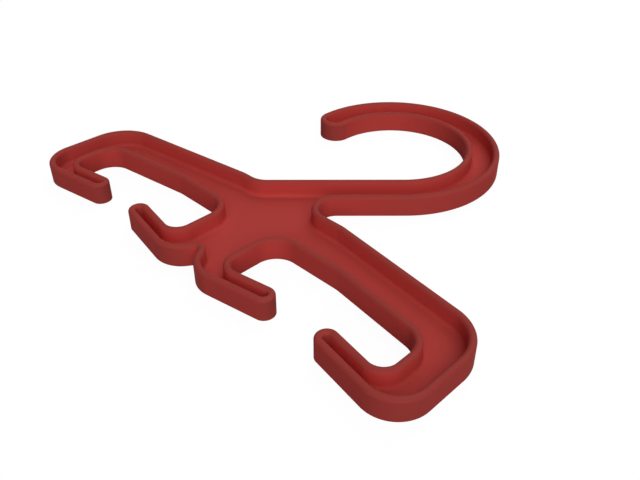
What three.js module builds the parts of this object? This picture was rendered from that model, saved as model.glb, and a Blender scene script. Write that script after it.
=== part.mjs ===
// A belt hanger: one flat plastic moulding with a hook for a wardrobe rod and a belt slot under each arm.
// Millimetres. It lies on its flat back: +Z out of its front, +Y towards the hook, +X along the right arm.

import * as THREE from 'three';

// Section: a thin floor with a rim standing along its whole edge, fully rounded on top
const thickness = 6.2;
const floorThickness = 1.5;
const rimWidth = 1.9;
const backRound = 0.2;
const footRound = 0.4;
const wallDraft = 1; // degrees, on the rim's inner face

// Hook and stem
const strokeWidth = 9.9;
const hookInnerRadius = 21;
const hookRise = 43.8; // hook centre above the arms' level top
const hookOffset = 0.3; // hook centre to the right of the mirror line
const hookTip = 180; // degrees, where the hook ends round its centre
const stemAngle = 45; // degrees above the arms
const innerCrotchRound = 6; // stem to left arm, inside the hook
const outerCrotchRound = 5; // stem to right arm

// Arms, column and end posts
const columnWidth = 19.8;
const endPostWidth = 9.9;
const armDepth = 14.7; // slot roof to the arm's top at the column
const armFall = 8; // degrees, how the arms droop
const armLevel = 5.6; // level top past the stem's foot, before the arm droops
const roofLevel = 21.1; // level roof past the column, before it droops
const bendRound = 12;
const shoulderRound = 12;
const heelRound = 9;

// Belt slots and the lips under them
const slotLength = 50;
const mouthWidth = 14.4;
const lipWidth = 5.7;
const lipRise = 10; // degrees, the lips climb towards the mouth
const lipTipDrop = 17.6; // slot roof to the middle of a lip's tip
const roofRound = 6;
const sillRound = 3.6;

// Notch under the column, between the roots of the two inner lips
const notchHeight = 8.4; // from where the lips' undersides would meet to where the notch's sides would
const notchLean = 33; // degrees, each side from upright
const notchRound = 1;
const rootRound = 8.4;

// Smoothness of the round stretches
const chordHeight = 0.06;
const roundStep = 30; // degrees, across a section's round

const plastic = new THREE.MeshStandardMaterial({ color: 0x9c3632, roughness: 0.55, metalness: 0 });

const point = (x, y) => new THREE.Vector2(x, y);
const slope = (degrees) => Math.tan(THREE.MathUtils.degToRad(degrees));

// Unit vector at an angle in degrees
function heading(degrees) {
  const angle = THREE.MathUtils.degToRad(degrees);
  return point(Math.cos(angle), Math.sin(angle));
}

// A straight edge: the direction it faces, in degrees, and its distance from the origin that way
function edge(facing, through, away = 0) {
  return { facing, distance: heading(facing).dot(through) + away };
}

// The point at the given depth inside two edges, or outside them where the depth is below zero
function inside(first, second, depth) {
  const a = heading(first.facing);
  const b = heading(second.facing);
  const p = first.distance - depth;
  const q = second.distance - depth;
  return point(p * b.y - q * a.y, q * a.x - p * b.x).divideScalar(a.cross(b));
}

// The outline is a chain of arcs joined by straight edges, like a belt round pulleys. Each arc keeps the
// directions it faces at its start and end. A radius below zero is an inner round, and turns the other way.
function arc(centre, radius, from, to) {
  return { centre, radius, from, to };
}

function corner(first, second, radius) {
  return arc(inside(first, second, radius), radius, first.facing, second.facing);
}

function mirrored({ centre, radius, from, to }) {
  return arc(point(-centre.x, centre.y), radius, 180 - to, 180 - from);
}

// Places across the right half, from the mirror line outwards, with the slot's roof at y = 0
const slotStart = columnWidth / 2;
const slotMiddle = slotStart + slotLength / 2;
const slotEnd = slotStart + slotLength;
const armEnd = slotEnd + endPostWidth;
const lipRadius = lipWidth / 2;
const innerTip = point(slotMiddle - mouthWidth / 2 - lipRadius, -lipTipDrop);
const outerTip = point(slotMiddle + mouthWidth / 2 + lipRadius, -lipTipDrop);

// Hook and stem: both walls of the stem run on from the hook's two arcs
const hookCentre = point(hookOffset, armDepth + hookRise);
const hookOuterRadius = hookInnerRadius + strokeWidth;
const strokeMiddle = hookInnerRadius + strokeWidth / 2;
const hookEnd = heading(hookTip).multiplyScalar(strokeMiddle).add(hookCentre);
const stemFacing = stemAngle - 90;
const stemOuter = edge(stemFacing, hookCentre, hookOuterRadius);
const stemInner = edge(stemFacing + 180, hookCentre, -hookInnerRadius);

// Straight edges, named for where they are on the right half
const armTop = edge(90, point(0, armDepth));
const stemFoot = inside(armTop, stemInner, 0);
const armSlope = edge(90 - armFall, point(-stemFoot.x + armLevel, armDepth));
const armSide = edge(0, point(armEnd, 0));
const columnSide = edge(0, point(slotStart, 0));
const roof = edge(-90, point(0, 0));
const roofSlope = edge(-90 - armFall, point(slotStart + roofLevel, 0));
const postSide = edge(-180, point(slotEnd, 0));
const innerLipUnder = edge(lipRise - 90, innerTip, lipRadius);
const innerLipTop = edge(lipRise + 90, innerTip, lipRadius);
const outerLipTop = edge(-270 - lipRise, outerTip, lipRadius);
const outerLipUnder = edge(-90 - lipRise, outerTip, lipRadius);

// Notch: two sides that lean away from the mirror line
const mirrorLine = edge(0, point(0, 0));
const notchPeak = inside(innerLipUnder, mirrorLine, 0).add(point(0, notchHeight));
const notchRight = edge(notchLean - 180, notchPeak);
const notchLeft = edge(-notchLean, notchPeak);

const rightHalf = [
  corner(notchRight, innerLipUnder, rootRound),
  arc(innerTip, lipRadius, innerLipUnder.facing, innerLipTop.facing),
  corner(innerLipTop, columnSide, -sillRound),
  corner(columnSide, roof, -roofRound),
  corner(roof, roofSlope, -bendRound),
  corner(roofSlope, postSide, -roofRound),
  corner(postSide, outerLipTop, -sillRound),
  arc(outerTip, lipRadius, outerLipTop.facing, outerLipUnder.facing),
  corner(outerLipUnder, armSide, heelRound),
  corner(armSide, armSlope, shoulderRound),
  corner(armSlope, armTop, bendRound),
];

const hook = [
  corner(armTop, stemOuter, -outerCrotchRound),
  arc(hookCentre, hookOuterRadius, stemFacing, hookTip),
  arc(hookEnd, strokeWidth / 2, hookTip, hookTip + 180),
  arc(hookCentre, -hookInnerRadius, hookTip + 180, stemFacing + 180),
  corner(stemInner, armTop, -innerCrotchRound),
];

const outline = [
  ...rightHalf,
  ...hook,
  ...rightHalf.map(mirrored).reverse(),
  corner(notchLeft, notchRight, -notchRound),
];

// Facing direction and arc at each point of the outline, the same for every depth inside it
function stations() {
  const found = [];
  for (const stretch of outline) {
    const turn = stretch.to - stretch.from;
    const widest = stretch.radius < 0 ? rimWidth - stretch.radius : stretch.radius;
    const step = THREE.MathUtils.radToDeg(2 * Math.acos(1 - chordHeight / widest));
    const steps = Math.ceil(Math.abs(turn) / step);
    for (let i = 0; i <= steps; i += 1) {
      found.push({ stretch, facing: stretch.from + (turn * i) / steps });
    }
  }
  const place = found.map((station) => pointAt(station, 0));
  return found.filter((station, i) => place[i].distanceTo(place[(i + 1) % place.length]) > chordHeight / 10);
}

function pointAt({ stretch, facing }, depth) {
  return heading(facing).multiplyScalar(stretch.radius - depth).add(stretch.centre);
}

// A round of the section, as depths and heights, from one angle to another in degrees
function round(depth, height, radius, from, to) {
  const places = [];
  const steps = Math.ceil(Math.abs(to - from) / roundStep);
  for (let i = 0; i <= steps; i += 1) {
    const across = heading(from + ((to - from) * i) / steps).multiplyScalar(radius);
    places.push({ depth: depth + across.x, height: height + across.y });
  }
  return places;
}

// The section from the back's edge up the outer wall, over the rim and down to the floor
function section() {
  const draft = (thickness - floorThickness) * slope(wallDraft);
  const wallFoot = rimWidth + draft;
  const foot = Math.min(footRound, (lipRadius - wallFoot) / 2);
  const rimRound = rimWidth / 2;
  return [
    ...round(backRound, backRound, backRound, 270, 180),
    ...round(rimRound, thickness - rimRound, rimRound, 180, wallDraft),
    ...round(wallFoot + foot, floorThickness + foot, foot, 180 + wallDraft, 270),
  ];
}

// Carries the section round the outline, and closes the back and the floor with flat faces
function moulding() {
  const around = stations();
  const rings = section().map(({ depth, height }) => ({ height, points: around.map((s) => pointAt(s, depth)) }));
  const count = around.length;
  const positions = rings.flatMap(({ height, points }) => points.flatMap((p) => [p.x, p.y, height]));
  const triangles = [];
  for (let level = 0; level + 1 < rings.length; level += 1) {
    for (let i = 0; i < count; i += 1) {
      const low = level * count + i;
      const lowNext = level * count + ((i + 1) % count);
      triangles.push(low, lowNext, lowNext + count, low, lowNext + count, low + count);
    }
  }
  const last = (rings.length - 1) * count;
  for (const [a, b, c] of THREE.ShapeUtils.triangulateShape(rings[0].points, [])) {
    triangles.push(c, b, a);
  }
  for (const [a, b, c] of THREE.ShapeUtils.triangulateShape(rings.at(-1).points, [])) {
    triangles.push(last + a, last + b, last + c);
  }
  const geometry = new THREE.BufferGeometry();
  geometry.setAttribute('position', new THREE.Float32BufferAttribute(positions, 3));
  geometry.setIndex(triangles);
  geometry.computeVertexNormals();
  return geometry;
}

// The origin is under the middle of the hanger, on the surface it lies on
function hangerBody() {
  const body = new THREE.Mesh(moulding(), plastic);
  body.name = 'hanger_body';
  body.geometry.computeBoundingBox();
  const middle = body.geometry.boundingBox.getCenter(new THREE.Vector3());
  body.position.set(-middle.x, -middle.y, 0);
  return body;
}

const beltHanger = new THREE.Group();
beltHanger.add(hangerBody());

export default beltHanger;
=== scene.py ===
# %% [markdown]
# # A moulded belt hanger
# This lesson dresses one small household object: a red plastic hanger with a hook for a wardrobe rod and,
# under each arm, a slot for belts. The real one is a single moulding, so there is one surface to make and
# one finish to get right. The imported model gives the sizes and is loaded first. Everything after it works
# in the same frame, in metres, with the hanger on its flat back, its rimmed front up and its hook towards
# +Y.

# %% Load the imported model
import math

import bpy
import numpy as np
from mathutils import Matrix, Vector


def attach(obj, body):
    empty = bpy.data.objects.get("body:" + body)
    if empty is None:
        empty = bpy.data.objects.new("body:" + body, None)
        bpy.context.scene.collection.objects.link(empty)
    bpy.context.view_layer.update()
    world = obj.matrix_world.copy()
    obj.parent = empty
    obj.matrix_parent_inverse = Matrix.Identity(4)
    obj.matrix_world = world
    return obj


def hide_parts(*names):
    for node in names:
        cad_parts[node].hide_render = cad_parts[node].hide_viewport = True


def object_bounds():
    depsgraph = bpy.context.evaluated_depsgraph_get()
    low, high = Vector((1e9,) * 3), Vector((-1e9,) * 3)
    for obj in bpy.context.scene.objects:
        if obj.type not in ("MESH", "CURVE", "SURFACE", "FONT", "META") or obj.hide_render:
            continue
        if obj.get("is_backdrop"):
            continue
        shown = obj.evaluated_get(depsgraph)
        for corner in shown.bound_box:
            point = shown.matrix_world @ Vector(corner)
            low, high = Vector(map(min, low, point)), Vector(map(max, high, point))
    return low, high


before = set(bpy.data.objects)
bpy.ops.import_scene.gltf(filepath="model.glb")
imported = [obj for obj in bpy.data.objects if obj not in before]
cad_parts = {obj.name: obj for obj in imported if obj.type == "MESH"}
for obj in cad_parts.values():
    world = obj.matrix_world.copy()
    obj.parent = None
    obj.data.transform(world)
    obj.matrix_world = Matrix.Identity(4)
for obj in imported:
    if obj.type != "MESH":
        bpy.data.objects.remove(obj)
cad_low, cad_high = (np.array(c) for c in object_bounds())
MM = 0.001
print(len(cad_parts), "piece in the model,", np.round((cad_high - cad_low) / MM, 2), "mm")

# %% [markdown]
# ## The camera
# The photograph looks down on the hanger from in front of its right arm. A camera can be set by eye, but
# then every edge is a little off, and a wrong shape can't be told from a wrong view. Here the eye's place,
# its two angles and its focal length were found by laying the hanger's own outline over the photograph
# until the two agreed. The focal length is in pixels of a picture 640 pixels wide, and becomes millimetres
# of a plain sensor.

# %% Camera
PICTURE_WIDTH = 640  # pixels
FOCAL_LENGTH = 711.8  # pixels
SENSOR = 36.0  # mm
NEAR_CLIP = 0.01  # metres, nearer than the hanger comes
EYE = np.array([121.06, -129.18, 108.30])  # mm
LOOK_DOWN = 35.39  # degrees under level
TURN_LEFT = 44.89  # degrees from +Y towards -X

camera_data = bpy.data.cameras.new("camera")
camera_data.sensor_width = SENSOR
camera_data.lens = SENSOR * FOCAL_LENGTH / PICTURE_WIDTH
camera_data.clip_start = NEAR_CLIP
camera = bpy.data.objects.new("camera", camera_data)
camera.location = EYE * MM
camera.rotation_euler = (math.radians(90 - LOOK_DOWN), 0, math.radians(TURN_LEFT))
bpy.context.collection.objects.link(camera)
bpy.context.scene.camera = camera
print("lens", round(camera_data.lens, 2), "mm")

# %% [markdown]
# ## Shader maths as sums
# A material is a net of nodes. Written node by node it is long and hard to read, so a small class wraps a
# socket and lets Python's own signs stand for Math nodes: a sum of two wires adds an Add node and gives its
# output. Every other node comes from one method, which takes the node's type, its settings, and the values
# or links of its sockets.

# %% A socket that can be added and multiplied
class Wire:
    """One output socket. A sum, difference or product with one adds a Math node and gives its output."""

    def __init__(self, net, socket):
        self.net = net
        self.socket = socket

    def maths(self, operation, first, second):
        return self.net.add("ShaderNodeMath", {"operation": operation}, {0: first, 1: second})

    def __add__(self, other):
        return self.maths("ADD", self, other)

    def __radd__(self, other):
        return self.maths("ADD", other, self)

    def __sub__(self, other):
        return self.maths("SUBTRACT", self, other)

    def __rsub__(self, other):
        return self.maths("SUBTRACT", other, self)

    def __mul__(self, other):
        return self.maths("MULTIPLY", self, other)

    def __rmul__(self, other):
        return self.maths("MULTIPLY", other, self)


print("signs that a wire takes: + - *")


# %% A net that makes any node
class Net:
    """The node net of one material or of the world."""

    def __init__(self, owner):
        owner.use_nodes = True
        self.tree = owner.node_tree
        self.tree.nodes.clear()

    def add(self, kind, settings=None, sockets=None, output=0):
        """Adds a node: its settings first, then each socket, by name or number, gets a value or a link."""
        node = self.tree.nodes.new(kind)
        for name, value in (settings or {}).items():
            setattr(node, name, value)
        for name, value in (sockets or {}).items():
            if isinstance(value, Wire):
                self.tree.links.new(value.socket, node.inputs[name])
            else:
                node.inputs[name].default_value = value
        return Wire(self, node.outputs[output] if node.outputs else None)


print("shader helpers:", Wire.__name__, "and", Net.__name__)

# %% [markdown]
# ## The ground
# The hanger lies on plain white with hardly a shadow. A sheet lit until it is white would throw much more
# light up at the plastic than the photograph shows. So the sheet is grey paper for the light that bounces off
# it. Where the eye or a reflection looks at it, it glows, and a little light from the lamps, which the
# hanger's shadow takes away, makes it white.

# %% Ground
GREY_PAPER = (0.25, 0.25, 0.25, 1)
FAINT_PAPER = (0.075, 0.075, 0.075, 1)
WHITE = (1, 1, 1, 1)
GLOW = 0.94  # the lamps' light on faint paper makes it up to white
GROUND_HALF = 0.8  # metres
GROUND_DROP = 0.00005  # metres


def looked_at(net):
    """1 for camera, glossy and transmission rays, and 0 for the light that surfaces throw on each other."""
    rays = net.add("ShaderNodeLightPath").socket.node.outputs
    eye, gloss, glass = (Wire(net, rays[f"Is {kind} Ray"]) for kind in ("Camera", "Glossy", "Transmission"))
    return eye + gloss + glass


def pale_ground():
    """Grey paper, but glowing paper where it is looked at."""
    material = bpy.data.materials.new("pale_ground")
    net = Net(material)
    grey = net.add("ShaderNodeBsdfDiffuse", {}, {"Color": GREY_PAPER})
    faint = net.add("ShaderNodeBsdfDiffuse", {}, {"Color": FAINT_PAPER})
    glow = net.add("ShaderNodeEmission", {}, {"Color": WHITE, "Strength": GLOW})
    white = net.add("ShaderNodeAddShader", {}, {0: faint, 1: glow})
    mixed = net.add("ShaderNodeMixShader", {}, {0: looked_at(net), 1: grey, 2: white})
    net.add("ShaderNodeOutputMaterial", {}, {"Surface": mixed})
    return material


def ground_sheet():
    """A flat square: four corners at plus and minus half its width, a hair under the hanger."""
    corners = GROUND_HALF * np.array([(-1, -1, 0), (1, -1, 0), (1, 1, 0), (-1, 1, 0)]) - (0, 0, GROUND_DROP)
    mesh = bpy.data.meshes.new("ground")
    mesh.from_pydata(corners.tolist(), [], [(0, 1, 2, 3)])
    mesh.materials.append(pale_ground())
    sheet = bpy.data.objects.new("ground", mesh)
    bpy.context.collection.objects.link(sheet)
    sheet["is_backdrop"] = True
    return sheet


ground = ground_sheet()
print("ground", ground.dimensions.x, "m wide")

# %% [markdown]
# ## The light
# On the hanger the light comes mostly from over the camera's shoulder: the channel walls that face the
# camera are bright, those that face away are dull, and no hard shadow falls. One sun would be too hard, so
# large square lamps stand round the hanger. The strongest is over the camera's shoulder, one is high above
# it and one at its right, and one behind the hook lights the far sides of the rims. The sky adds a little
# from everywhere. Where it is looked at, it is white like the sheet, so that no horizon shows.

# %% Light
bpy.context.scene.view_settings.view_transform = "Standard"
SKY_LIGHT = 0.05
BACKDROP_GLOW = 1.0
LAMP_SIZE = 1.6  # metres
LAMP_DISTANCE = 2.0  # metres


def soft_sky():
    """A faint even light, but a white backdrop where it is looked at."""
    world = bpy.data.worlds.new("soft_sky")
    net = Net(world)
    faint = net.add("ShaderNodeBackground", {}, {"Color": WHITE, "Strength": SKY_LIGHT})
    white = net.add("ShaderNodeBackground", {}, {"Color": WHITE, "Strength": BACKDROP_GLOW})
    sky = net.add("ShaderNodeMixShader", {}, {0: looked_at(net), 1: faint, 2: white})
    net.add("ShaderNodeOutputWorld", {}, {"Surface": sky})
    bpy.context.scene.world = world


def soft_box(name, bearing, height, power):
    """A square lamp that faces the hanger: its bearing from +X and height in degrees, its power in watts."""
    data = bpy.data.lights.new(name, "AREA")
    data.size = LAMP_SIZE
    data.energy = power
    lamp = bpy.data.objects.new(name, data)
    turn, rise = math.radians(bearing), math.radians(height)
    way = np.array([math.cos(rise) * math.cos(turn), math.cos(rise) * math.sin(turn), math.sin(rise)])
    lamp.location = LAMP_DISTANCE * way
    lamp.rotation_euler = (math.pi / 2 - rise, 0, turn + math.pi / 2)
    bpy.context.collection.objects.link(lamp)


soft_sky()
soft_box("shoulder_lamp", bearing=-45, height=30, power=22.6)
soft_box("overhead_lamp", bearing=-45, height=70, power=9.7)
soft_box("right_lamp", bearing=0, height=45, power=8.0)
soft_box("back_lamp", bearing=112, height=45, power=17.0)
print(len(bpy.data.lights), "lamps")

# %% [markdown]
# ## The outline
# Seen from the front, the hanger's edge is a chain of round stretches joined by straight ones, like a belt
# round pulleys. It could be drawn as a curve and bevelled, but a bevel pinches in the tight corners of the
# lips. Here each round keeps its centre, its radius and the directions that the edge faces at its two ends,
# and an inner round has a radius below zero. A point is the centre plus the radius along its facing. Moving
# the edge inwards only takes the same depth off every radius, so the rim follows the outline truly, round
# every tip and corner. Each point also keeps how far along its round it is and whether it is on a narrow
# lip, for the steps that follow.

# %% Sizes of the hook and stem, in millimetres and degrees
STROKE_WIDTH = 9.9  # of the hook and the stem
HOOK_INNER_RADIUS = 21.0
HOOK_RISE = 43.8  # hook's centre above the arms' level top
HOOK_OFFSET = 0.3  # hook's centre to the right of the mirror line
HOOK_TIP = 180.0  # degrees, where the hook ends round its centre
STEM_ANGLE = 45.0  # degrees above the arms
INNER_CROTCH_ROUND = 6.0  # stem to left arm, inside the hook
OUTER_CROTCH_ROUND = 5.0  # stem to right arm
print("hook", 2 * HOOK_INNER_RADIUS, "mm wide inside")

# %% Sizes of the arms, column and end posts
COLUMN_WIDTH = 19.8
END_POST_WIDTH = 9.9
ARM_DEPTH = 14.7  # slot's roof to the arm's top at the column
ARM_FALL = 8.0  # degrees, how the arms droop
ARM_LEVEL = 5.6  # level top past the stem's foot, before the arm droops
ROOF_LEVEL = 21.1  # level roof past the column, before it droops
BEND_ROUND = 12.0  # where the arm and the slot's roof start to droop
SHOULDER_ROUND = 12.0  # arm's top to its end
HEEL_ROUND = 9.0  # arm's end to the outer lip
print("arms droop", ARM_FALL, "degrees")

# %% Sizes of the belt slots, the lips and the notch between them
SLOT_LENGTH = 50.0
MOUTH_WIDTH = 14.4
LIP_WIDTH = 5.7
LIP_RISE = 10.0  # degrees, the lips climb towards the mouth
LIP_TIP_DROP = 17.6  # slot's roof to the middle of a lip's tip
ROOF_ROUND = 6.0  # slot's roof to column and end post
SILL_ROUND = 3.6  # lips to column and end post, inside the slot
NOTCH_HEIGHT = 8.4  # from where the lips' undersides would meet to where the notch's sides would
NOTCH_LEAN = 33.0  # degrees, each side from upright
NOTCH_ROUND = 1.0  # at the notch's peak
ROOT_ROUND = 8.4  # notch's side to the inner lip's underside
print("slots", SLOT_LENGTH, "mm long, with mouths", MOUTH_WIDTH, "mm wide")


# %% Edges, corners and arcs
def heading(degrees):
    """Unit vectors at angles in degrees: cosine and sine along a last axis of two."""
    angle = np.radians(degrees)
    return np.stack([np.cos(angle), np.sin(angle)], axis=-1)


def edge(facing, through, away=0.0):
    """A straight edge: the direction it faces, and its distance from the origin that way."""
    return facing, heading(facing) @ np.array(through) + away


def inside(first, second, depth):
    """The point at one depth behind two edges: both distances, less the depth, solved for x and y."""
    ways = np.array([heading(first[0]), heading(second[0])])
    return np.linalg.solve(ways, np.array([first[1], second[1]]) - depth)


def corner(first, second, radius):
    """A round between two edges: its centre is one radius behind both."""
    return inside(first, second, radius), radius, first[0], second[0]


def mirrored(arc):
    """The round across the mirror line: x changes sign, and 180 less each facing takes the other's place."""
    centre, radius, start, end = arc
    return centre * np.array([-1, 1]), radius, 180 - end, 180 - start


print("a square corner's round:", corner(edge(0, (5, 5)), edge(90, (5, 5)), 2.0))

# %% Hook and stem: both walls of the stem run on from the hook's two arcs
hook_centre = np.array([HOOK_OFFSET, ARM_DEPTH + HOOK_RISE])
hook_outer_radius = HOOK_INNER_RADIUS + STROKE_WIDTH
hook_end = hook_centre + (HOOK_INNER_RADIUS + STROKE_WIDTH / 2) * heading(HOOK_TIP)
stem_facing = STEM_ANGLE - 90
stem_outer = edge(stem_facing, hook_centre, hook_outer_radius)
stem_inner = edge(stem_facing + 180, hook_centre, -HOOK_INNER_RADIUS)
arm_top = edge(90, (0, ARM_DEPTH))
stem_foot = inside(arm_top, stem_inner, 0)

hook = [
    corner(arm_top, stem_outer, -OUTER_CROTCH_ROUND),
    (hook_centre, hook_outer_radius, stem_facing, HOOK_TIP),
    (hook_end, STROKE_WIDTH / 2, HOOK_TIP, HOOK_TIP + 180),
    (hook_centre, -HOOK_INNER_RADIUS, HOOK_TIP + 180, stem_facing + 180),
    corner(stem_inner, arm_top, -INNER_CROTCH_ROUND),
]
print("the stem's foot is at", np.round(stem_foot, 2))

# %% Edges of the right half, with the slot's roof at y = 0
slot_start = COLUMN_WIDTH / 2
slot_middle = slot_start + SLOT_LENGTH / 2
slot_end = slot_start + SLOT_LENGTH
lip_radius = LIP_WIDTH / 2
inner_tip = np.array([slot_middle - MOUTH_WIDTH / 2 - lip_radius, -LIP_TIP_DROP])
outer_tip = np.array([slot_middle + MOUTH_WIDTH / 2 + lip_radius, -LIP_TIP_DROP])

arm_slope = edge(90 - ARM_FALL, (ARM_LEVEL - stem_foot[0], ARM_DEPTH))
arm_side = edge(0, (slot_end + END_POST_WIDTH, 0))
column_side = edge(0, (slot_start, 0))
roof = edge(-90, (0, 0))
roof_slope = edge(-90 - ARM_FALL, (slot_start + ROOF_LEVEL, 0))
post_side = edge(-180, (slot_end, 0))
inner_lip_under = edge(LIP_RISE - 90, inner_tip, lip_radius)
inner_lip_top = edge(LIP_RISE + 90, inner_tip, lip_radius)
outer_lip_top = edge(-270 - LIP_RISE, outer_tip, lip_radius)
outer_lip_under = edge(-90 - LIP_RISE, outer_tip, lip_radius)
print("lip tips at", np.round(inner_tip, 2), "and", np.round(outer_tip, 2))

# %% Notch between the roots of the two inner lips
mirror_line = edge(0, (0, 0))
notch_peak = inside(inner_lip_under, mirror_line, 0) + np.array([0, NOTCH_HEIGHT])
notch_right = edge(NOTCH_LEAN - 180, notch_peak)
notch_left = edge(-NOTCH_LEAN, notch_peak)
notch = [corner(notch_left, notch_right, -NOTCH_ROUND)]
print("the notch's sides meet at", np.round(notch_peak, 2))

# %% The whole chain, once round against the clock
right_half = [
    corner(notch_right, inner_lip_under, ROOT_ROUND),
    (inner_tip, lip_radius, inner_lip_under[0], inner_lip_top[0]),
    corner(inner_lip_top, column_side, -SILL_ROUND),
    corner(column_side, roof, -ROOF_ROUND),
    corner(roof, roof_slope, -BEND_ROUND),
    corner(roof_slope, post_side, -ROOF_ROUND),
    corner(post_side, outer_lip_top, -SILL_ROUND),
    (outer_tip, lip_radius, outer_lip_top[0], outer_lip_under[0]),
    corner(outer_lip_under, arm_side, HEEL_ROUND),
    corner(arm_side, arm_slope, SHOULDER_ROUND),
    corner(arm_slope, arm_top, BEND_ROUND),
]
left_half = [mirrored(arc) for arc in reversed(right_half)]
outline = right_half + hook + left_half + notch
print(len(outline), "round stretches in the outline")


# %% Where the channel is narrow
def narrowness(arcs):
    """For both ends of each round: 1 on a lip's tip and where its straight sides end, 0 elsewhere."""
    tip = np.array([arc[1] == lip_radius for arc in arcs])
    return np.stack([tip | np.roll(tip, 1), tip | np.roll(tip, -1)], axis=-1).astype(float)


print(int(narrowness(outline).sum()), "of the", 2 * len(outline), "ends of rounds are on lips")

# %% Points along the outline
STEP = 2.5  # degrees between points on a round
SAME_PLACE = 1e-6  # mm, points no farther apart are one


def stations(arcs):
    """Centre, radius, facing, share of its round and narrowness, for points every few degrees of a round."""
    counts = [math.ceil(abs(end - start) / STEP) + 1 for _, _, start, end in arcs]
    centre = np.concatenate([np.tile(arc[0], (n, 1)) for arc, n in zip(arcs, counts)])
    radius = np.concatenate([np.full(n, arc[1]) for arc, n in zip(arcs, counts)])
    facing = np.concatenate([np.linspace(arc[2], arc[3], n) for arc, n in zip(arcs, counts)])
    share = np.concatenate([np.linspace(0, 1, n) for n in counts])
    narrow = np.concatenate([np.linspace(*ends, n) for ends, n in zip(narrowness(arcs), counts)])
    place = centre + radius[:, None] * heading(facing)
    apart = np.linalg.norm(np.roll(place, -1, axis=0) - place, axis=1)
    keep = apart > SAME_PLACE
    return centre[keep], radius[keep], facing[keep], share[keep], narrow[keep]


centre, radius, facing, share, narrow = stations(outline)
print(len(facing), "points along the outline")

# %% [markdown]
# ## The section
# Cut across, every limb of the hanger is the same channel: a flat back, a thin floor, and on both sides a
# standing rim whose top is one full round, as a mould leaves it. The rim's inner face leans back a little
# so that the part comes out of the mould, and meets the floor in a soft round. In the lips there is less
# room, so the round is smaller there, and the rounds of both sides all but meet. A bevel modifier could
# round a plain channel, but it would treat all edges alike. Here the section is written as depths inside
# the outline and heights above the back, at every point along the outline. Each straight stretch also gets
# a point near both its ends, so that smooth shading keeps it flat.

# %% Sizes of the section
thickness = (cad_high[2] - cad_low[2]) / MM
FLOOR_THICKNESS = 1.5
RIM_WIDTH = 1.9
BACK_ROUND = 0.2
FOOT_ROUND = 1.0
GROOVE_FLAT = 0.1  # left between the two foot rounds of a lip
WALL_DRAFT = 1.0  # degrees, how far the rim's inner face leans
ROUND_STEP = 11.0  # degrees between points on a round of the section
HOLD = 0.15  # from the end of a straight stretch to the point that keeps it flat
FLOOR_HOLD = 0.03  # the same on the floor, where the lips have little room
rim_round = RIM_WIDTH / 2
rim_start = thickness - rim_round
wall_foot = RIM_WIDTH + (thickness - FLOOR_THICKNESS) * math.tan(math.radians(WALL_DRAFT))
groove_round = lip_radius - wall_foot - GROOVE_FLAT / 2
foot_round = FOOT_ROUND + narrow * (groove_round - FOOT_ROUND)
print("channel", round(thickness - FLOOR_THICKNESS, 2), "mm deep, lips' foot round", round(groove_round, 2))


# %% Section
def rounded(depth, height, size, start, end):
    """A round at each station: its centre plus its size along directions from start to end, in degrees."""
    depth, height, size = (value * np.ones(len(facing)) for value in (depth, height, size))
    ways = heading(np.linspace(start, end, math.ceil(abs(end - start) / ROUND_STEP) + 1))
    return np.stack([depth, height], axis=-1) + size[:, None] * ways[:, None]


def held(first, last):
    """Two points on the straight stretch from first to last, each a small way in from its end."""
    step = HOLD * (last - first) / np.linalg.norm(last - first, axis=-1, keepdims=True)
    return np.array([first + step, last - step])


def section():
    """Depths and heights of rounds joined by straight stretches, from the back over the rim to the floor."""
    back = rounded(BACK_ROUND, BACK_ROUND, BACK_ROUND, 270, 180)
    rim = rounded(rim_round, rim_start, rim_round, 180, WALL_DRAFT)
    foot = rounded(wall_foot + foot_round, FLOOR_THICKNESS + foot_round, foot_round, 180 + WALL_DRAFT, 270)
    walls = [back, held(back[-1], rim[0]), rim, held(rim[-1], foot[0]), foot]
    # The first row lies a small way in on the back, and the last a small way out on the floor
    rows = np.concatenate([back[:1] + (HOLD, 0), *walls, foot[-1:] + (FLOOR_HOLD, 0)])
    return rows[..., 0], rows[..., 1]


depth, height = section()
print(len(depth), "points across the section")

# %% [markdown]
# ## Carrying the section round the outline
# The section and the outline make one grid: a row for each point of the section and a column for each point
# of the outline. Each grid point is a station's centre plus its radius, less the section's depth, along its
# facing, at the section's height. The grid closes on itself, and two flat faces close the rest: the back
# and the channel's floor.

# %% The moulding's grid
def moulding():
    """Grid of section by station: centre + (radius - depth) * facing, about its middle, at each height."""
    flat = centre + (radius - depth)[..., None] * heading(facing)
    middle = (flat.min(axis=(0, 1)) + flat.max(axis=(0, 1))) / 2
    return np.concatenate([flat - middle, height[..., None]], axis=2) * MM


def grid_faces(rows, columns):
    """Quads between neighbouring rows and columns, closed round, and one face on the first and last row."""
    here = np.arange(rows * columns).reshape(rows, columns)
    right = np.roll(here, -1, axis=1)
    quads = np.stack([here[:-1], right[:-1], right[1:], here[1:]], axis=-1).reshape(-1, 4)
    return quads.tolist() + [here[0, ::-1].tolist(), here[-1].tolist()]


grid = moulding()
print("grid of", grid.shape[0], "by", grid.shape[1], "points")

# %% The hanger
hanger_mesh = bpy.data.meshes.new("hanger")
hanger_mesh.from_pydata(grid.reshape(-1, 3).tolist(), [], grid_faces(*grid.shape[:2]))
hanger_mesh.polygons.foreach_set("use_smooth", np.ones(len(hanger_mesh.polygons), dtype=bool))
hanger = bpy.data.objects.new("hanger", hanger_mesh)
bpy.context.collection.objects.link(hanger)
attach(hanger, "root")
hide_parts("hanger_body")
print(len(hanger_mesh.polygons), "faces on the hanger")

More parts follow.
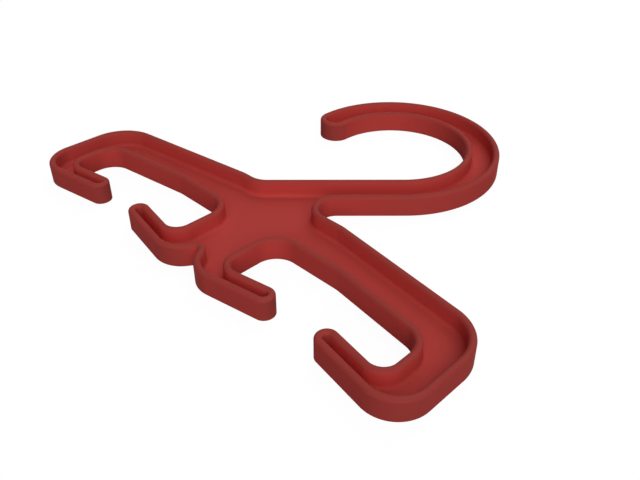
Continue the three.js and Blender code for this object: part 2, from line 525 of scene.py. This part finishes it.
# %% [markdown]
# ## Painted sheen, shade and bounce light
# In the photograph the rim's top is greyer than the channel, and so are the tips of the hook and lips, the
# outer corners and, a little, the ends of the arms. Here that greyer, darker red is painted sheen and shade.
# The channel's walls and the walls inside the hook and slots are a purer red, and deep in the narrow lips the
# red is purest: that brighter red is painted bounce light, the red light that the walls throw on each other.
# A pattern could guess at edges from their sharpness, but here the section and the outline know them. Two
# numbers on each point of the mesh tell the material how much painted sheen and how much painted bounce
# light it gets. The painted shade at the ends of the arms is left to the material, which knows where it is.

# %% Painted sheen on rims, tips and corners, and painted bounce light on the channel's walls and in inner corners
TIGHT = 14.0  # mm, outer rounds get more painted sheen the farther they are under this radius
FADE_POWER = 4  # a high power keeps the painted sheen of a round until near its ends
OPEN_BOUNCE = 0.28  # painted bounce light on channel walls and inner corners, but not deep in a lip

# How far up the rim's round a point is, and how far it has risen off the flat floor or back
crest = np.clip((height - rim_start) / rim_round, 0, 1)
off_floor = (height - FLOOR_THICKNESS) / foot_round
off_back = height / BACK_ROUND
standing = np.clip(np.where(depth > rim_round, off_floor, off_back), 0, 1)


def painted_sheen():
    """Painted sheen, the larger of two: how far up the rim a point is, and how tight its outer round, less at
    its ends.
    """
    tight = np.where(radius > 0, np.clip(1 - radius / TIGHT, 0, 1), 0)
    return np.maximum(crest, standing * tight * (1 - (2 * share - 1) ** FADE_POWER))


def bounce_light():
    """Painted bounce light: low on the channel's walls and on inner rounds of the edge, but growing down the
    walls of the lips.
    """
    fall = rim_start - FLOOR_THICKNESS - foot_round
    sunk = np.clip((rim_start - height) / fall, 0, 1)
    inside_wall = OPEN_BOUNCE + (1 - OPEN_BOUNCE) * narrow * sunk
    outside_wall = np.where(radius < 0, OPEN_BOUNCE, 0)
    return standing * (1 - crest) * np.where(depth > rim_round, inside_wall, outside_wall)


for name, values in (("sheen_edges", painted_sheen()), ("bounce_light", bounce_light())):
    layer = hanger_mesh.attributes.new(name, "FLOAT", "POINT")
    layer.data.foreach_set("value", values.ravel().astype(np.float32))
    print(name, "is over a half on", int((values > 0.5).sum()), "points")

# %% [markdown]
# ## The plastic
# The plastic is dark red all through and satin, not shiny: the mould's fine grain breaks up reflections.
# Close to, the colour isn't quite even, because the melt flows and cools unevenly, and broad faint clouds
# remain. Paint or an image could show all this, but noise on the object's own coordinates does it without a
# seam. Broad noise shades the colour, fine noise is the grain, and the two numbers paint a greyer red as
# sheen on rims, tips and corners and a brighter red as bounce light in the channel. The sixth power of the
# way out along an arm is close to 0 until near the arm's end, and paints shade and sheen there.

# %% Reds of the plastic, and how two are mixed
RED = (0.411, 0.0463, 0.0402, 1)
PALE_RED = (0.449, 0.0533, 0.0462, 1)
# painted bounce light: the brighter red that the red walls throw on each other in the channel, lips and
# corners
BOUNCE_RED = (0.66, 0.059, 0.0505, 1)
# painted sheen and shade: the greyer, darker red on rims, tips, corners and the arms' ends
SHADE_AND_SHEEN_RED = (0.295, 0.043, 0.0362, 1)
# A Mix node has sockets for each kind of value, and these are the numbers of those for colours
MIX_SHARE, MIX_FIRST, MIX_SECOND, MIX_RESULT = 0, 6, 7, 2


def blend(net, share, first, second):
    """The colour a share of the way from the first to the second: first + share * (second - first)."""
    sockets = {MIX_SHARE: share, MIX_FIRST: first, MIX_SECOND: second}
    return net.add("ShaderNodeMix", {"data_type": "RGBA"}, sockets, output=MIX_RESULT)


# how much of the red is left where sheen and shade are painted
print("rubbing leaves", round(SHADE_AND_SHEEN_RED[0] / RED[0], 2), "of the red")

# %% Plastic
CLOUD_SCALE = 70.0  # to the metre
CLOUD_DETAIL = 3.0
GRAIN_SCALE = 3600.0  # to the metre
GRAIN_DETAIL = 2.0
GRAIN_DEPTH = 0.00003  # metres
GRAIN_STRENGTH = 0.3
ROUGH = 0.62
GRAIN_ROUGHENS = 0.08
SHEEN_SMOOTHS = 0.1
SHEEN_FLATTENS = 0.5  # share of the grain's height that the full painted sheen takes off
LEAST_SHEEN = 0.5  # the clouds add to this
END_SHADE = 0.33  # painted shade and sheen at the very end of an arm
SHINE = 0.02  # specular level, where 0.5 is plain glossy plastic


def red_plastic():
    """Colour by clouds, painted sheen, painted bounce light and painted shade at the arms' ends. Grain is
    lower and the surface smoother where the sheen is painted.
    """
    material = bpy.data.materials.new("red_plastic")
    net = Net(material)
    place = net.add("ShaderNodeTexCoord", output="Object")
    broad = {"Vector": place, "Scale": CLOUD_SCALE, "Detail": CLOUD_DETAIL}
    fine = {"Vector": place, "Scale": GRAIN_SCALE, "Detail": GRAIN_DETAIL}
    clouds = net.add("ShaderNodeTexNoise", {}, broad)
    grain = net.add("ShaderNodeTexNoise", {}, fine)
    # the number for painted bounce light, and on the next line the number for painted sheen
    bounce_share = net.add("ShaderNodeAttribute", {"attribute_name": "bounce_light"}, output="Fac")
    edge_sheen = net.add("ShaderNodeAttribute", {"attribute_name": "sheen_edges"}, output="Fac")
    across = net.add("ShaderNodeSeparateXYZ", {}, {"Vector": place}, output="X") * (1 / cad_high[0])
    square = across * across
    # close to 0 until near an arm's end, where shade and sheen are painted
    ends = square * square * square
    # painted sheen on rims, tips and corners, more where the clouds are, and painted shade at the arms' ends
    sheen_and_shade = edge_sheen * (LEAST_SHEEN + clouds) + END_SHADE * ends * (1 - bounce_share)
    red = blend(net, clouds, RED, PALE_RED)
    # painted bounce light: a brighter, purer red on the channel's walls and in corners
    deep = blend(net, bounce_share, red, BOUNCE_RED)
    colour = blend(net, sheen_and_shade, deep, SHADE_AND_SHEEN_RED)
    rough = ROUGH + GRAIN_ROUGHENS * grain - SHEEN_SMOOTHS * sheen_and_shade
    raised = grain * (1 - SHEEN_FLATTENS * sheen_and_shade)
    relief = {"Strength": GRAIN_STRENGTH, "Distance": GRAIN_DEPTH, "Height": raised}
    bump = net.add("ShaderNodeBump", {}, relief)
    look = {"Base Color": colour, "Roughness": rough, "Normal": bump, "Specular IOR Level": SHINE}
    surface = net.add("ShaderNodeBsdfPrincipled", {}, look)
    net.add("ShaderNodeOutputMaterial", {}, {"Surface": surface})
    return material


hanger_mesh.materials.append(red_plastic())
print(len(hanger_mesh.materials[0].node_tree.nodes), "nodes in the plastic")
